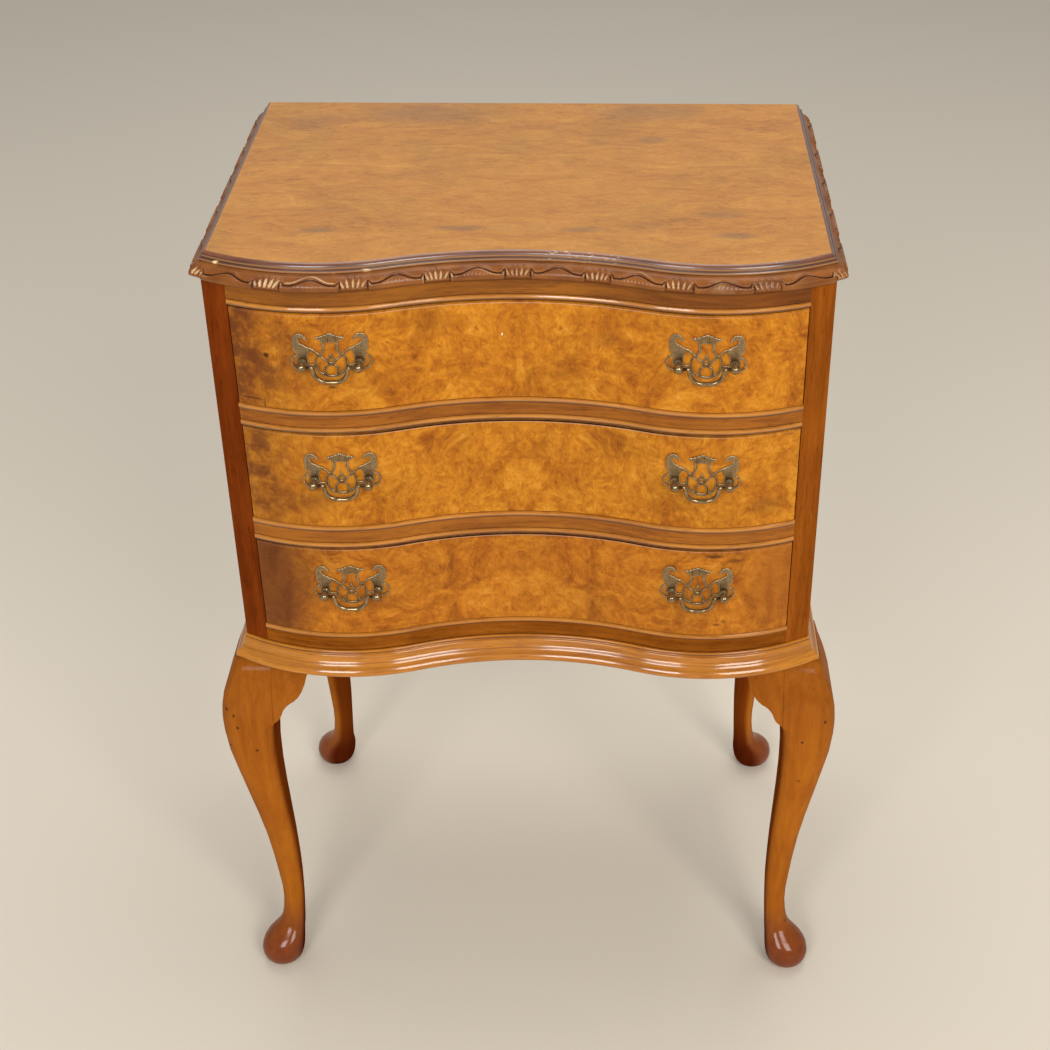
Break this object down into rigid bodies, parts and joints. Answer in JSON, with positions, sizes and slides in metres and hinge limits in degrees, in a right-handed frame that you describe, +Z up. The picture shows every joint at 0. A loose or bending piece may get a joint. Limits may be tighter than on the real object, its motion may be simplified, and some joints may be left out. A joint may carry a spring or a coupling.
{
  "type": "bedside chest of drawers",
  "caption": "Serpentine-fronted bedside chest with full-width drawers, carved top edge, swan-neck handles on pierced plates, and cabriole legs.",
  "frame": {"origin": "on the floor, in the middle of the whole width and depth", "axes": "+X to the right of someone facing the drawers, -Y out of the front, +Z up"},
  "size_m": [0.5448, 0.3546, 0.76],
  "materials": {
    "burr_top": "French polished burr walnut",
    "burr_front": "French polished burr walnut",
    "walnut": "French polished walnut",
    "case_walnut": "French polished walnut",
    "carved_walnut": "polished walnut, worn on its high points",
    "bead_walnut": "French polished walnut",
    "base_walnut": "French polished walnut",
    "leg_walnut": "French polished walnut",
    "plain_wood": "bare softwood",
    "drawer_lining": "bare oak",
    "brass_plate": "antique brass, pierced plate",
    "brass": "antique brass, rubbed bright"
  },
  "bodies": {
    "case": {"top_board": "burr_top", "carved_moulding_front": "carved_walnut", "carved_moulding_left": "carved_walnut", "carved_moulding_right": "carved_walnut", "side_left": "case_walnut", "side_right": "case_walnut", "back_panel": "plain_wood", "stile_left": "case_walnut", "stile_right": "case_walnut", "rail_frieze": "walnut", "rail_upper": "walnut", "rail_lower": "walnut", "rail_bottom": "walnut", "cock_beads_1": "bead_walnut", "cock_beads_2": "bead_walnut", "cock_beads_3": "bead_walnut", "bottom_board": "plain_wood", "runners_1": "plain_wood", "runners_2": "plain_wood", "runners_3": "plain_wood", "kickers": "plain_wood", "base_moulding_front": "base_walnut", "base_moulding_left": "base_walnut", "base_moulding_right": "base_walnut", "base_frame": "plain_wood", "leg_front_left": "leg_walnut", "leg_front_right": "leg_walnut", "leg_back_left": "leg_walnut", "leg_back_right": "leg_walnut", "brackets_front_left": "leg_walnut", "brackets_front_right": "leg_walnut", "brackets_back_left": "leg_walnut", "brackets_back_right": "leg_walnut"},
    "drawer_1": {"drawer_front_1": "burr_front", "drawer_side_left_1": "drawer_lining", "drawer_side_right_1": "drawer_lining", "drawer_back_1": "drawer_lining", "drawer_bottom_1": "drawer_lining", "handle_plates_1": "brass_plate", "handle_posts_1": "brass"},
    "drawer_2": {"drawer_front_2": "burr_front", "drawer_side_left_2": "drawer_lining", "drawer_side_right_2": "drawer_lining", "drawer_back_2": "drawer_lining", "drawer_bottom_2": "drawer_lining", "handle_plates_2": "brass_plate", "handle_posts_2": "brass"},
    "drawer_3": {"drawer_front_3": "burr_front", "drawer_side_left_3": "drawer_lining", "drawer_side_right_3": "drawer_lining", "drawer_back_3": "drawer_lining", "drawer_bottom_3": "drawer_lining", "handle_plates_3": "brass_plate", "handle_posts_3": "brass"},
    "bail_left_1": {"bail_left_1": "brass"},
    "bail_right_1": {"bail_right_1": "brass"},
    "bail_left_2": {"bail_left_2": "brass"},
    "bail_right_2": {"bail_right_2": "brass"},
    "bail_left_3": {"bail_left_3": "brass"},
    "bail_right_3": {"bail_right_3": "brass"}
  },
  "joints": [
    {"name": "drawer_1_slide", "type": "slide", "parent": "case", "child": "drawer_1", "axis": [0, -1, 0], "range_m": [0, 0.25]},
    {"name": "drawer_2_slide", "type": "slide", "parent": "case", "child": "drawer_2", "axis": [0, -1, 0], "range_m": [0, 0.25]},
    {"name": "drawer_3_slide", "type": "slide", "parent": "case", "child": "drawer_3", "axis": [0, -1, 0], "range_m": [0, 0.25]},
    {"name": "bail_left_1_hinge", "type": "hinge", "parent": "drawer_1", "child": "bail_left_1", "pos_m": [-0.145, -0.17331, 0.67855], "axis": [-1, 0, 0], "range_deg": [-15, 160]},
    {"name": "bail_right_1_hinge", "type": "hinge", "parent": "drawer_1", "child": "bail_right_1", "pos_m": [0.145, -0.17331, 0.67855], "axis": [-1, 0, 0], "range_deg": [-15, 160]},
    {"name": "bail_left_2_hinge", "type": "hinge", "parent": "drawer_2", "child": "bail_left_2", "pos_m": [-0.145, -0.17331, 0.5708], "axis": [-1, 0, 0], "range_deg": [-15, 160]},
    {"name": "bail_right_2_hinge", "type": "hinge", "parent": "drawer_2", "child": "bail_right_2", "pos_m": [0.145, -0.17331, 0.5708], "axis": [-1, 0, 0], "range_deg": [-15, 160]},
    {"name": "bail_left_3_hinge", "type": "hinge", "parent": "drawer_3", "child": "bail_left_3", "pos_m": [-0.145, -0.17331, 0.46105], "axis": [-1, 0, 0], "range_deg": [-15, 160]},
    {"name": "bail_right_3_hinge", "type": "hinge", "parent": "drawer_3", "child": "bail_right_3", "pos_m": [0.145, -0.17331, 0.46105], "axis": [-1, 0, 0], "range_deg": [-15, 160]}
  ]
}
